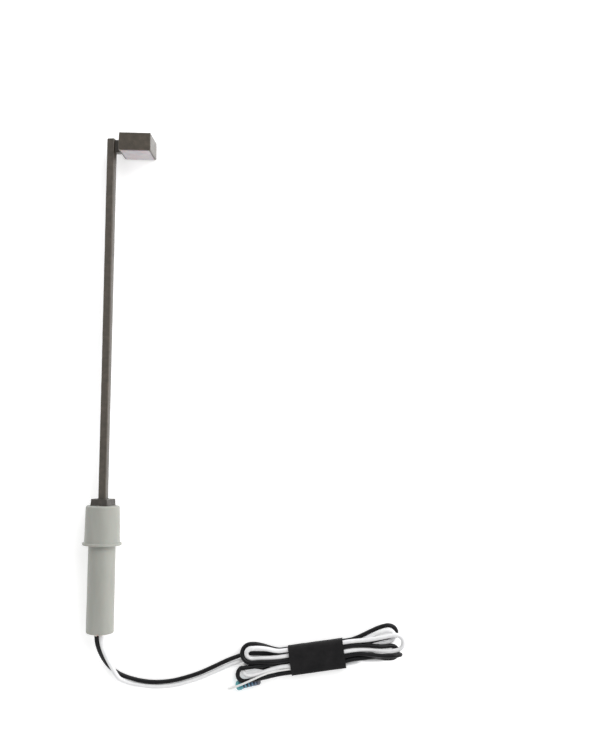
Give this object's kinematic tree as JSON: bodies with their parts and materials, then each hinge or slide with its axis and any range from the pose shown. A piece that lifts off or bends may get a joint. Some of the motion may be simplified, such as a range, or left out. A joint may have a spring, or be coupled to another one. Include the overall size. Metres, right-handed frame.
{
  "type": "model lamp post",
  "caption": "HO-scale LED lamp post with a square bronze pole, side box head and grey plug-in base, lying down with its black and white lead folded in a tube tie.",
  "frame": {"origin": "on the surface it lies on, under the middle of the post without its cord", "axes": "+Y up the post from plug to head, +X along the head's outreach, +Z away from the surface"},
  "size_m": [0.0781, 0.1332, 0.0093],
  "materials": {
    "bronze_paint": "satin dark bronze",
    "frosted_lens": "frosted",
    "board": "solder mask",
    "led": "silicone over phosphor",
    "grey_plastic": "satin moulded",
    "filler": "hot glue",
    "tube_black": "matte shrink tube",
    "black_jacket": "soft PVC",
    "white_jacket": "soft PVC",
    "enamel_copper": "enamelled",
    "enamel_green": "enamelled",
    "folded_jacket": "soft PVC",
    "resistor_blue": "gloss lacquer",
    "tinned_wire": "tinned"
  },
  "bodies": {
    "post": {"pole": "bronze_paint", "pole_cap": "bronze_paint", "side_arm": "bronze_paint", "head_housing": "bronze_paint", "head_lens": "frosted_lens", "led_board": "board", "led_chip": "led", "base_plate": "bronze_paint", "base_collar": "grey_plastic", "plug_barrel": "grey_plastic", "end_plug": "filler", "splice_black": "tube_black", "splice_white": "tube_black", "inner_lead_black": "black_jacket", "inner_lead_white": "white_jacket", "thin_wire_black": "enamel_copper", "thin_wire_white": "enamel_green", "free_lead_black": "black_jacket", "free_lead_white": "white_jacket", "lead_hank": "folded_jacket", "resistor_body": "resistor_blue", "resistor_lead_near": "tinned_wire", "resistor_lead_far": "tinned_wire", "solder_joint": "tinned_wire"},
    "tie": {"tie_sleeve": "tube_black"}
  },
  "joints": [
    {"name": "tie_slide", "type": "slide", "parent": "post", "child": "tie", "axis": [0.9869, 0.1616, 0], "range_m": [-0.0015, 0.0015]}
  ]
}
